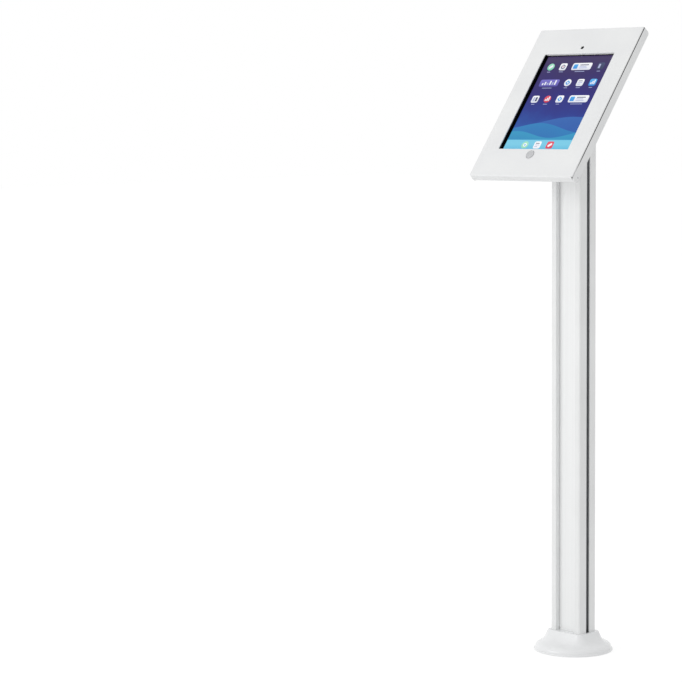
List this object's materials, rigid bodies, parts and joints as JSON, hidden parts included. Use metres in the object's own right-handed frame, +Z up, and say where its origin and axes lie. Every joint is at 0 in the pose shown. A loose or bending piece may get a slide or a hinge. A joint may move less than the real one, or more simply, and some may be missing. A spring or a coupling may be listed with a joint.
{
  "type": "adjustable tablet floor stand",
  "caption": "Tablet floor stand: bell-covered round foot, slotted rectangular column and a tilting, lockable sheet steel head with a hinged cover, window and home button.",
  "frame": {"origin": "the column's axis at floor level, the centre of the foot's underside", "axes": "+X to the right of a person at the screen, +Y away from that person, +Z up"},
  "size_m": [0.223, 0.2067, 1.0592],
  "materials": {
    "white_sheet_steel": "satin powder coat",
    "white_extrusion": "satin powder coat on an extruded profile",
    "white_gloss_plastic": "glossy moulded plastic",
    "white_matte_plastic": "smooth satin plastic strip",
    "cast_aluminium": "powder coated casting",
    "bare_steel": "zinc plated",
    "friction_fibre": "pressed fibre",
    "black_rubber": "soft matte",
    "black_foam": "closed cell foam",
    "white_tape": "smooth tape",
    "silver_shell": "satin silver",
    "black_glass": "polished",
    "lit_display": "polished, lit from behind",
    "silver_button": "satin, slightly dished",
    "black_plastic": "moulded",
    "plated_lock": "nickel plated"
  },
  "bodies": {
    "stand": {"base_plate": "bare_steel", "base_cover": "white_gloss_plastic", "base_screws": "bare_steel", "column": "white_extrusion", "front_infill": "white_matte_plastic", "rear_infill": "white_matte_plastic", "column_grommet": "black_rubber", "tilt_block": "cast_aluminium", "block_screws": "bare_steel", "tilt_bolt": "bare_steel", "tilt_nut": "bare_steel", "friction_washers": "friction_fibre"},
    "head": {"tilt_bracket": "white_sheet_steel", "bracket_screws": "bare_steel", "clinch_nuts": "bare_steel", "rear_case": "white_sheet_steel", "hinge_pins": "bare_steel", "head_grommet": "black_rubber", "corner_pads": "black_foam", "back_pads": "black_foam", "tablet_body": "silver_shell", "tablet_glass": "black_glass", "tablet_display": "lit_display", "lock_housing": "plated_lock", "lock_ring": "plated_lock"},
    "cover": {"front_cover": "white_sheet_steel", "window_pads": "black_foam", "top_tape": "white_tape", "button_guide": "black_plastic", "button_spring": "bare_steel", "lock_catch": "bare_steel"},
    "home_button": {"home_button": "silver_button"},
    "lock": {"lock_plug": "plated_lock", "lock_cam": "bare_steel", "cam_screw": "bare_steel"}
  },
  "joints": [
    {"name": "head_tilt", "type": "hinge", "parent": "stand", "child": "head", "pos_m": [0, 0, 0.92], "axis": [1, 0, 0], "range_deg": [-30, 30]},
    {"name": "cover_hinge", "type": "hinge", "parent": "head", "child": "cover", "pos_m": [0, -0.12381, 0.81398], "axis": [1, 0, 0], "range_deg": [0, 100]},
    {"name": "home_button_press", "type": "slide", "parent": "cover", "child": "home_button", "axis": [0, 0.7955, -0.606], "range_m": [0, 0.001], "stiffness_N_per_m": 500, "springref_m": -0.0005},
    {"name": "lock_turn", "type": "hinge", "parent": "head", "child": "lock", "pos_m": [0, 0.04528, 1.03842], "axis": [0, -0.7955, 0.606], "range_deg": [0, 90]}
  ]
}
